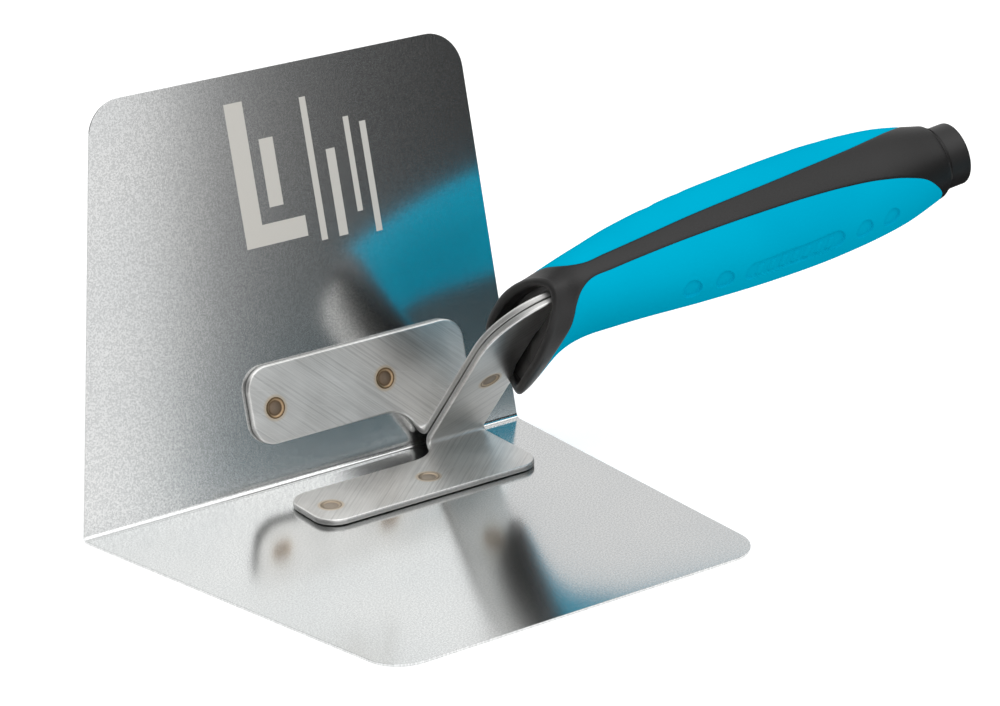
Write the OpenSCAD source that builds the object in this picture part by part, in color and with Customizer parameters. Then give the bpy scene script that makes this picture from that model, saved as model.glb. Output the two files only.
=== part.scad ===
// Inside corner trowel.
// A thin sheet bent into two wings, two stamped brackets spot-welded inside the
// corner with their tangs back to back, and a moulded handle on the tangs.
// Lengths are in millimetres and angles in degrees.
// Origin: middle of the lower wing's outer face. +X runs along the fold towards
// the handle, +Z up, with the lower wing flat on the ground.

/* [Blade] */
// Length of the blade along the fold
fold_len = 127; // [120:1:150]
// Width of each wing from the fold to the outer edge
wing_w = 102; // [80:1:130]
// Thickness of the blade sheet
sheet_t = 0.6; // [0.4:0.1:1]
// Angle between the two wings
open_angle = 103.6; // [90:0.2:108]
// How far the front edge is cut back at the outer edge
front_taper = 21.4; // [0:0.2:30]
// Radius of the wings' outer corners
corner_r = 10; // [4:1:16]
// Inside radius of the fold
fold_r = 1.5; // [1:0.1:2.5]

/* [Brackets] */
// Thickness of the bracket plate
plate_t = 1.8; // [1.5:0.1:2.2]
// Distance from the blade's front end to the flange
flange_x = 49.5; // [45:0.5:52]
// Length of each flange along the fold
flange_len = 64; // [60:0.5:66]
// Width of each flange
flange_w = 19.8; // [17:0.1:24]
// Distance from the fold to the flange's near edge
flange_gap = 10.6; // [10:0.1:13]
// Radius of the flange's corners
flange_r = 6; // [3:0.5:7]
// Width of the neck and of the upright web
neck_w = 17; // [15:0.5:18]
// Fillet between the flange and the neck
neck_fillet = 5; // [3:0.5:6]
// Inside radius of the bracket's bend
bend_r = 0.9; // [0.8:0.1:1.2]
// Radius of the web's outer curve where it turns into the handle
turn_r = 20; // [18:1:22]
// Length of the tang inside the handle
tang_len = 74; // [60:1:80]
// Diameter of the two holes that lock the tang in the core
tang_hole_d = 6; // [4:0.5:7]

/* [Welds] */
// Diameter of a spot weld
weld_d = 5.4; // [4:0.2:6]
// Depth of the electrode's dent in a weld
weld_dent = 0.2; // [0.1:0.05:0.3]
// Distance from each flange's front end to its first weld
weld_x1 = 6.8; // [6:0.2:10]
// Distance from the first to the second weld on the upper flange
upper_pitch = 32.3; // [28:0.1:36]
// Distance from the first to the second weld on the lower flange
lower_pitch = 28.6; // [26:0.1:36]
// Distance from the fold to the upper flange's welds
upper_weld_y = 19.5; // [19:0.1:22]
// Distance from the fold to the lower flange's welds
lower_weld_y = 21.4; // [19:0.1:22]

/* [Handle] */
// Tilt of the handle against the fold
grip_tilt = 12.5; // [8:0.5:16]
// Length of the handle from its root to the end of the soft tail
grip_len = 115.4; // [112:0.2:120]
// Thickness of the soft skin over the hard core
skin_t = 2.2; // [1.8:0.1:2.6]
// Height of the collar's mouth
mouth_h = 40.6; // [40:0.2:43]
// Width of the collar's mouth
mouth_w = 21.2; // [20:0.2:22]
// Wall of the collar around the mouth
lip_t = 3.1; // [3:0.1:4]
// Depth of the collar's pocket at its middle
pocket_depth = 3.4; // [2.6:0.2:4]
// Radius of the hard stub at the tail
stub_r = 8.2; // [7:0.1:8.2]
// Length of the hard stub behind the soft tail
stub_len = 6.6; // [4:0.2:10]
// Diameter of the flank dimples
dimple_d = 5; // [4:0.2:6]
// Depth of the flank dimples
dimple_depth = 0.6; // [0.4:0.1:0.8]

/* [Hidden] */
EPS = 0.01;
// Overlap of the bend with its plates, and how much thinner it is on each side
LAP = 0.5;
GAP = 0.01;
ARC_STEPS = 10;
RING = 44;

// Half of the opening angle: each wing's angle to the plane of the webs
half_a = open_angle / 2;

// Colours
STEEL = [0.80, 0.81, 0.81];
PLATE = [0.70, 0.71, 0.71];
TINT = [0.55, 0.44, 0.32];
SOFT_BLACK = [0.16, 0.16, 0.17];
HARD_BLACK = [0.22, 0.22, 0.23];
CYAN = [0.0, 0.62, 0.78];

// ---------- Frames ----------
// The web frame has its origin where the fold's inner faces meet, at the blade's
// front end: X along the fold, Y away from the fold in the mirror plane between
// the wings, Z towards the lower wing. Everything is drawn in it and then placed.
module place() {
    translate([-fold_len / 2, wing_w / 2, sheet_t])
        rotate([180 - half_a, 0, 0]) children();
}

// Wing frame of the lower side: Y along the wing, Z outwards through the sheet
module on_wing() {
    rotate([half_a, 0, 0]) children();
}

// The upper side is the mirror image of the lower side
module upper_side() {
    mirror([0, 0, 1]) children();
}

// ---------- Outlines with rounded corners ----------
function unit(v) = v / norm(v);
function reverse(v) = [for (k = [len(v) - 1:-1:0]) v[k]];

// Points of the arc that rounds corner p[i] of a closed outline to radius r[i]
function rounded_corner(p, r, i) =
    let (n = len(p), c = p[i], a = unit(p[(i + n - 1) % n] - c), b = unit(p[(i + 1) % n] - c),
         half = acos(a * b) / 2, m = unit(a + b), o = c + m * r[i] / sin(half),
         turn = sign(a.x * b.y - a.y * b.x), u = unit(c + a * r[i] / tan(half) - o),
         sweep = turn * (180 - 2 * half))
    r[i] == 0 ? [c] :
    [for (k = [0:ARC_STEPS])
        let (t = -sweep * k / ARC_STEPS)
        o + r[i] * [u.x * cos(t) - u.y * sin(t), u.x * sin(t) + u.y * cos(t)]];

module rounded_outline(corners) {
    p = [for (c = corners) [c.x, c.y]];
    r = [for (c = corners) c.z];
    polygon([for (i = [0:len(p) - 1]) each rounded_corner(p, r, i)]);
}

// Directions in the cross-section: along the lower wing and outwards through it
along = [cos(half_a), sin(half_a)];
out = [-sin(half_a), cos(half_a)];

// Points of an arc about [y0, 0], from the upper side's normal to the lower side's
function bend_arc(y0, r, steps) =
    [for (k = [0:steps]) let (t = (90 - half_a) * (1 - 2 * k / steps)) [y0 - r * cos(t), r * -sin(t)]];

// ---------- Blade ----------
FOLD_STEPS = 20;

// The sheet's cross-section across the fold, as one outline
module sheet_section() {
    fold_mid = fold_r / sin(half_a);
    tip = wing_w * along;
    rim = tip + sheet_t * out;
    polygon(concat(
        [[tip.x, -tip.y]], bend_arc(fold_mid, fold_r, FOLD_STEPS), [tip, rim],
        reverse(bend_arc(fold_mid, fold_r + sheet_t, FOLD_STEPS)), [[rim.x, -rim.y]]));
}

// What is cut away around a wing's outline, which stands 1 mm clear of the rear edge
module wing_offcut() {
    on_wing() translate([0, 0, -3]) linear_extrude(6) difference() {
        translate([-10, sheet_t]) square([fold_len + 20, wing_w + 10]);
        rounded_outline([
            [0, 0, 0],
            [front_taper, wing_w, corner_r],
            [fold_len, wing_w, corner_r],
            [fold_len + 1, wing_w - corner_r - 1, 0],
            [fold_len + 1, 0, 0]]);
    }
}

module blade() {
    color(STEEL) place() difference() {
        rotate([90, 0, 90]) linear_extrude(fold_len) sheet_section();
        wing_offcut();
        upper_side() wing_offcut();
        flange_nuggets(lower_pitch, lower_weld_y);
        upper_side() flange_nuggets(upper_pitch, upper_weld_y);
    }
}

// ---------- Brackets ----------
bend_outer = bend_r + plate_t;
// Distance from the fold to where the bracket's bend ends, on web and flange alike
bend_end = bend_outer / tan(half_a / 2);
web_x1 = flange_x + flange_len;
web_x0 = web_x1 - neck_w;
flange_far = flange_gap + flange_w;

// Place of the handle's root in the web frame
grip_x = web_x0 + 13.5;
grip_y = 58;

// Handle frame to web frame
function grip_xy(xi, eta) =
    [grip_x + xi * cos(grip_tilt) - eta * sin(grip_tilt),
     grip_y + xi * sin(grip_tilt) + eta * cos(grip_tilt)];

// The web rises from the bend, then turns through an arc into the handle
turn_y = 42.3;
turn_top = [web_x0 + turn_r - turn_r * sin(grip_tilt), turn_y + turn_r * cos(grip_tilt)];
tang_dir = [cos(grip_tilt), sin(grip_tilt)];
tang_down = [sin(grip_tilt), -cos(grip_tilt)];
tang_root_h = 10;
tang_tip_h = 9;
turn_inner_r = 6;
// Inside the collar the web narrows by this much, from one height to the next
waist = 2;
waist_y0 = 25;
waist_y1 = 34;

// Where the tang's underside meets the narrowed rear edge of the web
function turn_corner() =
    let (under = turn_top + tang_down * tang_root_h)
    under + tang_dir * (web_x1 - waist - under.x) / tang_dir.x;

module web_outline() {
    tip_top = turn_top + tang_dir * tang_len;
    tip_low = tip_top + tang_down * tang_tip_h;
    corner = [web_x0, turn_top.y - (turn_top.x - web_x0) * tan(grip_tilt)];
    rounded_outline([
        [web_x0, bend_end, 0],
        [corner.x, corner.y, turn_r],
        [tip_top.x, tip_top.y, 3],
        [tip_low.x, tip_low.y, 3],
        [turn_corner().x, turn_corner().y, turn_inner_r],
        [web_x1 - waist, waist_y1, 3],
        [web_x1, waist_y0, 3],
        [web_x1, bend_end, 0]]);
}

module flange_outline() {
    rounded_outline([
        [flange_x, flange_gap, flange_r],
        [flange_x, flange_far, flange_r],
        [web_x1, flange_far, flange_r],
        [web_x1, bend_end, 0],
        [web_x0, bend_end, 0],
        [web_x0, flange_gap, neck_fillet]]);
}

module tang_holes(d) {
    for (xi = [26, 58])
        translate([grip_xy(xi, -3).x, grip_xy(xi, -3).y, -5])
            cylinder(d = d, h = 10, $fn = 48);
}

// Cross-section of the bend, a hair thinner than the plates that it joins
BEND_STEPS = 20;
module bend_section() {
    mid = [bend_end, bend_outer];
    inner = bend_r + GAP;
    outer = bend_outer - GAP;
    a0 = 270;
    a1 = 90 + half_a;
    arc = [for (k = [0:BEND_STEPS]) let (t = a0 + (a1 - a0) * k / BEND_STEPS) [cos(t), sin(t)]];
    polygon(concat(
        [mid + outer * arc[0] + [LAP, 0]], [for (u = arc) mid + outer * u],
        [mid + outer * arc[BEND_STEPS] + LAP * along, mid + inner * arc[BEND_STEPS] + LAP * along],
        reverse([for (u = arc) mid + inner * u]), [mid + inner * arc[0] + [LAP, 0]]));
}

module bracket(weld_pitch, weld_y) {
    difference() {
        union() {
            linear_extrude(plate_t) web_outline();
            translate([web_x0 + GAP, 0, 0])
                rotate([90, 0, 90]) linear_extrude(neck_w - 2 * GAP) bend_section();
            on_wing() translate([0, 0, -plate_t]) linear_extrude(plate_t) flange_outline();
        }
        tang_holes(tang_hole_d);
        flange_nuggets(weld_pitch, weld_y);
        web_nugget(plate_t + EPS);
    }
}

module lower_bracket() {
    color(PLATE) place() bracket(lower_pitch, lower_weld_y);
}

module upper_bracket() {
    color(PLATE) place() upper_side() bracket(upper_pitch, upper_weld_y);
}

// ---------- Spot welds ----------
// A nugget fills the plate and half of the sheet, with the electrode's dent on top
nugget_bite = sheet_t / 2;

module flange_nuggets(weld_pitch, weld_y, dent = 0) {
    for (k = [0, 1])
        on_wing() translate([flange_x + weld_x1 + k * weld_pitch, weld_y, -plate_t + dent])
            cylinder(d = weld_d, h = plate_t - dent + nugget_bite, $fn = 48);
}

module web_nugget(half_h) {
    translate([web_x0 + 8.9, 28.9, -half_h]) cylinder(d = weld_d, h = 2 * half_h, $fn = 48);
}

module lower_flange_welds() {
    color(TINT) place() flange_nuggets(lower_pitch, lower_weld_y, weld_dent);
}

module upper_flange_welds() {
    color(TINT) place() upper_side() flange_nuggets(upper_pitch, upper_weld_y, weld_dent);
}

module web_weld() {
    color(TINT) place() web_nugget(plate_t - weld_dent);
}

// ---------- Handle form ----------
// Stations of the grip: [distance from the root, top, bottom, half width]
NECK = [12, 10.1, -11.6, 10.3];
GRIP = [NECK,
        [23, 11.2, -10.1, 12],
        [40, 12.6, -11.7, 13.6],
        [60, 12.7, -13.9, 14.5],
        [80, 12, -14.6, 14.6],
        [100, 9.8, -14.1, 12.9],
        [grip_len, 6.2, -12.3, 9.2]];

// Smooth curve through the stations, one value at distance t
function slope(k, j) =
    let (a = GRIP[max(k - 1, 0)], b = GRIP[min(k + 1, len(GRIP) - 1)])
    (b[j] - a[j]) / (b[0] - a[0]);
function span(t) = max([0, for (k = [0:len(GRIP) - 2]) if (t >= GRIP[k][0]) k]);
function station(t, j) =
    let (k = span(t), a = GRIP[k], b = GRIP[k + 1], w = b[0] - a[0], u = (t - a[0]) / w)
    (1 + 2 * u) * pow(1 - u, 2) * a[j] + u * pow(1 - u, 2) * w * slope(k, j)
    + u * u * (3 - 2 * u) * b[j] + u * u * (u - 1) * w * slope(k + 1, j);

// Point of a rounded cross-section of unit size, n = 2 being an ellipse
function bulge(v, n) = sign(v) * pow(abs(v), 2 / n);
function oval(k, n) = [bulge(cos(360 * k / RING), n), bulge(sin(360 * k / RING), n)];

function grip_ring(t, inset) =
    let (top = station(t, 1) - inset, low = station(t, 2) + inset, w = station(t, 3) - inset)
    [for (k = [0:RING - 1])
        let (o = oval(k, 2.2), p = grip_xy(t, (top + low) / 2 + o.x * (top - low) / 2))
        [p.x, p.y, o.y * w]];

// Mouth of the collar: upright, pointed and bowed back at its top, blunt at its chin
mouth_x = web_x0 + 11.4;
mouth_y = 45.7;
mouth_bow_top = 2.6;
mouth_bow_chin = 6.4;
floor_bow_chin = 2;

function mouth_oval(k) = oval(k, cos(360 * k / RING) > 0 ? 1.8 : 2.8);
function mouth_bow(o, top, chin) = o.x > 0 ? top * pow(o.x, 2) : chin * pow(-o.x, 3);

function mouth_ring(inset, ahead) =
    [for (k = [0:RING - 1])
        let (o = mouth_oval(k))
        [mouth_x + mouth_bow(o, mouth_bow_top, mouth_bow_chin) - ahead,
         mouth_y + o.x * (mouth_h / 2 - inset), o.y * (mouth_w / 2 - inset)]];

// The collar blends from the mouth to the grip along a curve for each point.
// An inset ring is also moved forward on the finger side, which stands upright.
function collar_ring(t, inset) =
    let (a = mouth_ring(inset, 0), d = grip_ring(NECK[0], inset),
         along = [cos(grip_tilt), sin(grip_tilt), 0], s = 1 - t)
    [for (k = [0:RING - 1])
        let (gap = norm(d[k] - a[k]),
             b = a[k] + 0.19 * (d[k] - a[k]) + 2.1 * along,
             c = d[k] - 0.56 * gap * along,
             under = min(mouth_oval(k).x, 0))
        s * s * s * a[k] + 3 * s * s * t * b + 3 * s * t * t * c + t * t * t * d[k]
        - [4 * s * t * inset * under * under, 0, 0]];

COLLAR_STEPS = [for (t = [0:0.125:0.9]) t];
GRIP_STEPS = [for (t = [NECK[0]:7.7:grip_len - 7]) t];

// Closed solid through a list of rings, each end closed by a fan
function total(v) = [for (x = v) 1] * v;
function center(ring) = [for (j = [0:2]) total([for (p = ring) p[j]]) / len(ring)];

module loft(rings) {
    n = RING;
    last = len(rings) - 1;
    points = concat([for (r = rings) each r], [center(rings[0]), center(rings[last])]);
    hub = (last + 1) * n;
    sides = [for (i = [0:last - 1], k = [0:n - 1])
        let (a = i * n + k, b = i * n + (k + 1) % n)
        each [[a, b + n, b], [a, a + n, b + n]]];
    front = [for (k = [0:n - 1]) [hub, k, (k + 1) % n]];
    back = [for (k = [0:n - 1]) [hub + 1, last * n + (k + 1) % n, last * n + k]];
    polyhedron(points, concat(sides, front, back), convexity = 6);
}

module outer_form() {
    loft(concat(
        [mouth_ring(2.4, 1.5), mouth_ring(0.9, 1.1)],
        [for (t = COLLAR_STEPS) collar_ring(t, 0)],
        [for (t = GRIP_STEPS) grip_ring(t, 0)],
        [grip_ring(grip_len - 1.2, 0), grip_ring(grip_len, 0.9)]));
}

// Hard core under the soft skins, with the stub that shows at the tail
module core_form() {
    loft(concat(
        [for (t = COLLAR_STEPS) collar_ring(t, skin_t)],
        [for (t = GRIP_STEPS) grip_ring(t, skin_t)],
        [grip_ring(grip_len - 3, skin_t)]));
    tail_mid = (station(grip_len, 1) + station(grip_len, 2)) / 2;
    translate([grip_xy(grip_len - 8, tail_mid).x, grip_xy(grip_len - 8, tail_mid).y, 0])
        rotate([0, 0, grip_tilt]) rotate([0, 90, 0])
            cylinder(r = stub_r, h = 8 + stub_len, $fn = 64);
}

// Pocket behind the mouth; the core closes its back
function pocket_ring(x, bow) =
    [for (k = [0:RING - 1])
        let (o = mouth_oval(k))
        [x + mouth_bow(o, 0, bow), mouth_y + o.x * (mouth_h / 2 - lip_t),
         o.y * (mouth_w / 2 - lip_t)]];

module pocket() {
    loft([pocket_ring(mouth_x - 20, 0), pocket_ring(mouth_x + pocket_depth, floor_bow_chin)]);
}

// ---------- Colour split of the soft skin ----------
// Half width of the black stripe along the top: [distance from the root, half width]
STRIPE = [[-2, 4], [4, 2.6], [8, 2.3], [30, 2.4], [57, 3.3], [84, 4.8], [97, 6.3], [106, 8.3], [113, 10.6]];

module handle_frame() {
    translate([grip_x, grip_y, 0]) rotate([0, 0, grip_tilt]) children();
}

module stripe_zone() {
    handle_frame() rotate([-90, 0, 0]) linear_extrude(40)
        polygon(concat(STRIPE, reverse([for (s = STRIPE) [s.x, -s.y]])));
}

// Side view of the cyan skin, from the chin round the collar's flank to the tail
CYAN_FRONT = [[116, 18], [115.2, 26], [113.4, 31], [112, 36], [111.2, 43.4], [111.1, 53.9],
              [111.9, 58.2], [113.2, 64.5], [114.3, 66.6], [116.2, 68.8], [116.2, 80]];
cyan_end = grip_len - 3.4;

module flank_zone() {
    translate([0, 0, -30]) linear_extrude(60) polygon(concat(
        CYAN_FRONT, [for (eta = [40, 0, -40]) grip_xy(cyan_end, eta)]));
}

// The cyan leaves out the stripe on top and the wall around the pocket
module cyan_zone() {
    difference() {
        flank_zone();
        stripe_zone();
        translate([web_x0, 28, -6]) cube([neck_w + 0.8, 32, 12]);
    }
}

// Shallow round dimples and a plain pill on each flank
DIMPLES = [[34.6, 4.4], [43.6, 4.2], [84.8, 3], [93.4, 2.4]];
PILL = [64, 3.6];
pill_len = 24;

module on_flank(side, spot) {
    handle_frame() translate([spot.x, spot.y, side * (station(spot.x, 3) - dimple_depth)])
        mirror([0, 0, side < 0 ? 1 : 0]) children();
}

module dimples() {
    for (side = [-1, 1]) {
        for (spot = DIMPLES)
            on_flank(side, spot) cylinder(d = dimple_d, h = 10, $fn = 32);
        on_flank(side, PILL) {
            for (dx = [-pill_len / 2, pill_len / 2])
                translate([dx, 0, 0]) cylinder(d = dimple_d, h = 10, $fn = 32);
            translate([-pill_len / 2, -dimple_d / 2, 0]) cube([pill_len, dimple_d, 10]);
        }
    }
}

module handle_core() {
    color(HARD_BLACK) place() difference() {
        core_form();
        pocket();
        tangs();
    }
}

// Both tangs together, without their locking holes
module tangs() {
    difference() {
        translate([0, 0, -plate_t]) linear_extrude(2 * plate_t) web_outline();
        tang_holes(tang_hole_d);
    }
}

module skin() {
    difference() {
        outer_form();
        core_form();
    }
}

module soft_overmould() {
    color(SOFT_BLACK) place() difference() {
        skin();
        cyan_zone();
        pocket();
        tangs();
    }
}

module grip_cover() {
    color(CYAN) place() difference() {
        intersection() {
            skin();
            cyan_zone();
        }
        pocket();
        tangs();
        dimples();
    }
}

blade();
upper_bracket();
lower_bracket();
upper_flange_welds();
lower_flange_welds();
web_weld();
handle_core();
soft_overmould();
grip_cover();
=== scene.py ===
"""Inside corner trowel: fine surfaces, materials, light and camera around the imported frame."""
import math

import bmesh
import bpy
import numpy as np
from mathutils import Matrix, Vector
from mathutils.geometry import delaunay_2d_cdt


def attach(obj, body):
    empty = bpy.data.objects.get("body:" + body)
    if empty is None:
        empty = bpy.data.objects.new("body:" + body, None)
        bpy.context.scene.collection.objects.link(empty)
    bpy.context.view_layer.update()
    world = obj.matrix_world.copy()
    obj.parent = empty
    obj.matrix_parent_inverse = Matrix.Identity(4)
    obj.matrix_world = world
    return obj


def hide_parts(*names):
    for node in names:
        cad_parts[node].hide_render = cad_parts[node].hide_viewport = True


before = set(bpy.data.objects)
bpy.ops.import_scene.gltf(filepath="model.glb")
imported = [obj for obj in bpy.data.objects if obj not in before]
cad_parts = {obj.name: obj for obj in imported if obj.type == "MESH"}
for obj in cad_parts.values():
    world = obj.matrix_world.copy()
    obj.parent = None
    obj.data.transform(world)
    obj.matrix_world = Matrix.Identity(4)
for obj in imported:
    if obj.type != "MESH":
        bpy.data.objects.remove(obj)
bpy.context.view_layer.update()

# ---------------------------------------------------------------- dimensions, mm
# The web frame: X along the fold from the blade's front end, Y away from the fold in
# the mirror plane between the wings, Z towards the lower wing.
FOLD_LEN, WING_W, SHEET_T = 127.0, 102.0, 0.6
HALF_A = math.radians(51.8)
FRONT_TAPER, CORNER_R, FOLD_R = 21.4, 10.0, 1.5
PLATE_T, FLANGE_X, FLANGE_LEN, FLANGE_W, FLANGE_GAP, FLANGE_R = 1.8, 49.5, 64.0, 19.8, 10.6, 6.0
NECK_W, NECK_FILLET, BEND_R, TURN_R = 17.0, 9.0, 0.9, 20.0
# Gap under the flange, half of the gap between the webs, length over which one becomes the other
SEAT_GAP, WEB_GAP, GAP_RUN = 0.22, 0.1, 4
# Width of the sheet's softened edge
SHEET_EDGE = 0.16
# Radius of the plate's lower and upper rim
PLATE_RIMS = (0.36, 0.5)
TANG_LEN, TANG_ROOT_H, TANG_TIP_H, TURN_INNER_R, TANG_R = 74.0, 10.0, 9.0, 6.0, 3
# The tang's holes: distances from the grip's root, depth under its axis, diameter
TANG_HOLES, TANG_HOLE_DROP, TANG_HOLE_D = (26, 58), 3, 6.0
WAIST, WAIST_Y0, WAIST_Y1, TURN_Y = 2.0, 25.0, 34.0, 42.3
# Weld marks: diameter, first one's distance from the flange's end, then pitch and distance from the fold
WELD_D, WELD_X1 = 5.4, 6.8
FLANGE_WELDS = {"upper": (32.3, 19.5), "lower": (28.6, 21.4)}
TILT = math.radians(12.5)
GRIP_LEN, SKIN_T, SKIN_WALL, STUB_R, STUB_LEN, TAIL_R = 115.4, 2.2, 0.8, 8.2, 6.6, 1.4
MOUTH_H, MOUTH_W, LIP_T, WALL_DRAFT, POCKET_DEPTH = 40.2, 21.2, 2.6, 0.5, 3.4
DIMPLE_D, MARK_DEPTH, RIB_PITCH = 5.0, 0.62, 3.4
GROOVE_DEPTH, GROOVE_W = 0.14, 0.26
DIMPLES = [(34.6, 4.4), (43.6, 4.2), (84.8, 3.0), (93.4, 2.4)]
PILL, PILL_LEN = (64.0, 3.6), 24.0

WEB_X1 = FLANGE_X + FLANGE_LEN
WEB_X0 = WEB_X1 - NECK_W
WEB_WELD = (WEB_X0 + 8.9, 28.9)
GRIP_O = np.array([WEB_X0 + 13.5, 58.0])
AHEAD = np.array([math.cos(TILT), math.sin(TILT)])
ABOVE = np.array([-math.sin(TILT), math.cos(TILT)])
ALONG = np.array([math.cos(HALF_A), math.sin(HALF_A)])
OUT = np.array([-math.sin(HALF_A), math.cos(HALF_A)])

PLACE = (Matrix.Scale(0.001, 4) @ Matrix.Translation((-FOLD_LEN / 2, WING_W / 2, SHEET_T))
         @ Matrix.Rotation(math.pi - HALF_A, 4, "X"))


# ---------------------------------------------------------------- mesh helpers
def to_frame(points, flip=False):
    """Web-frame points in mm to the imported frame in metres; flip takes the upper side."""
    p = np.asarray(points, float).reshape(-1, 3).copy()
    if flip:
        p[:, 2] *= -1
    m = np.array(PLACE)
    return p @ m[:3, :3].T + m[:3, 3]


def piece(name, points, faces, node, material, flip=False, flat=None, closed=True):
    """A piece that stands for a CAD node. An open skin keeps the way its faces point."""
    mesh = bpy.data.meshes.new(name)
    mesh.from_pydata(to_frame(points, flip).tolist(), [], faces)
    if flat is not None:
        layer = mesh.attributes.new("flat", "FLOAT_VECTOR", "POINT")
        layer.data.foreach_set("vector", np.asarray(flat, np.float32).ravel())
    bm = bmesh.new()
    bm.from_mesh(mesh)
    bmesh.ops.remove_doubles(bm, verts=bm.verts, dist=1e-7)
    if closed:
        bmesh.ops.recalc_face_normals(bm, faces=bm.faces)
    bm.to_mesh(mesh)
    bm.free()
    mesh.shade_smooth()
    mesh.materials.append(material)
    obj = bpy.data.objects.new(name, mesh)
    bpy.context.scene.collection.objects.link(obj)
    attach(obj, "root")
    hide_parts(node)
    return obj


def weighted_normals(obj, crease=40):
    """Smooth shading that leaves flat faces flat and creases sharp."""
    obj.data.set_sharp_from_angle(angle=math.radians(crease))
    mod = obj.modifiers.new("normals", "WEIGHTED_NORMAL")
    mod.mode = "FACE_AREA"
    mod.weight = 80
    mod.keep_sharp = True
    return obj


def grid_faces(rows, cols, start=0, closed=False):
    """Quads between rows of points; closed joins the two ends of each row."""
    last = cols if closed else cols - 1
    return [(start + i * cols + j, start + i * cols + (j + 1) % cols,
             start + (i + 1) * cols + (j + 1) % cols, start + (i + 1) * cols + j)
            for i in range(rows - 1) for j in range(last)]


def rounded(corners, step=8.0):
    """Dense closed outline through corners (x, y, radius)."""
    pts = [np.array(c[:2], float) for c in corners]
    out = []
    for i, c in enumerate(corners):
        p, r = pts[i], c[2]
        a, b = pts[i - 1] - p, pts[(i + 1) % len(pts)] - p
        a, b = a / np.linalg.norm(a), b / np.linalg.norm(b)
        if r == 0:
            out.append(p)
            continue
        half = math.acos(float(a @ b)) / 2
        mid = (a + b) / np.linalg.norm(a + b)
        o = p + mid * r / math.sin(half)
        u = p + a * r / math.tan(half) - o
        turn = -math.copysign(math.pi - 2 * half, a[0] * b[1] - a[1] * b[0])
        n = max(4, int(abs(math.degrees(turn)) / step))
        for k in range(n + 1):
            t = turn * k / n
            out.append(o + np.array([u[0] * math.cos(t) - u[1] * math.sin(t),
                                     u[0] * math.sin(t) + u[1] * math.cos(t)]))
    return np.array(out)


def inward(outline, d):
    """The outline moved inwards by d, along each point's normal."""
    prev, nxt = np.roll(outline, 1, 0), np.roll(outline, -1, 0)
    e0, e1 = outline - prev, nxt - outline
    e0 /= np.linalg.norm(e0, axis=1)[:, None]
    e1 /= np.linalg.norm(e1, axis=1)[:, None]
    area = np.sum(outline[:, 0] * nxt[:, 1] - nxt[:, 0] * outline[:, 1])
    n0, n1 = np.stack([-e0[:, 1], e0[:, 0]], 1), np.stack([-e1[:, 1], e1[:, 0]], 1)
    n = n0 + n1
    n /= np.maximum((n * n0).sum(1), 0.3)[:, None]
    return outline + math.copysign(d, area) * n


HOLE_SIDES, RIM_STEPS = 48, 6


def plate(outline, holes, low, high, rims, cuts):
    """Flat plate between two heights with rounded rims: 2-D points, heights and faces.

    rims are the lower and the upper rim's radius. The lines in cuts are kept as edges.
    """
    points, heights, faces = [], [], []
    n = len(outline)
    turns = np.linspace(0, math.pi / 2, RIM_STEPS)
    profile = [(rims[0] * (1 - math.sin(t)), low + rims[0] * (1 - math.cos(t))) for t in turns]
    profile += [(rims[1] * (1 - math.sin(t)), high - rims[1] * (1 - math.cos(t))) for t in reversed(turns)]
    for inset, h in profile:
        points.extend(inward(outline, inset) if inset > 1e-9 else outline)
        heights.extend([h] * n)
    faces += grid_faces(len(profile), n, closed=True)
    hole_rings = []
    for x, y, r in holes:
        ring = np.array([(x + r * math.cos(t), y + r * math.sin(t))
                         for t in np.linspace(0, 2 * math.pi, HOLE_SIDES, endpoint=False)])
        hole_rings.append((len(points), ring))
        faces += grid_faces(2, HOLE_SIDES, len(points), closed=True)
        for h in (low, high):
            points.extend(ring)
            heights.extend([h] * HOLE_SIDES)
    for top in (0, 1):
        lid = inward(outline, rims[top])
        first = (len(profile) - 1) * n if top else 0
        verts = [Vector(p) for p in lid]
        index = [first + k for k in range(n)]
        edges = [(k, (k + 1) % n) for k in range(n)]
        for a, ring in hole_rings:
            base = len(verts)
            verts += [Vector(p) for p in ring]
            index += [a + HOLE_SIDES * top + k for k in range(HOLE_SIDES)]
            edges += [(base + k, base + (k + 1) % HOLE_SIDES) for k in range(HOLE_SIDES)]
        for p, q in cuts:
            base = len(verts)
            verts += [Vector(p), Vector(q)]
            index += [None, None]
            edges.append((base, base + 1))
        spots, _, cells, sources, _, _ = delaunay_2d_cdt(verts, edges, [], 2, 1e-5)
        local = {}
        for k, source in enumerate(sources):
            known = [index[v] for v in source if index[v] is not None]
            if known:
                local[k] = known[0]
            else:
                local[k] = len(points)
                points.append(np.array(spots[k]))
                heights.append(high if top else low)
        for cell in cells:
            c = sum((np.array(spots[k]) for k in cell), np.zeros(2)) / len(cell)
            if any((c[0] - x) ** 2 + (c[1] - y) ** 2 < (0.98 * r) ** 2 for x, y, r in holes):
                continue
            faces.append(tuple(local[k] for k in cell))
    return np.array(points), np.array(heights), faces


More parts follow.
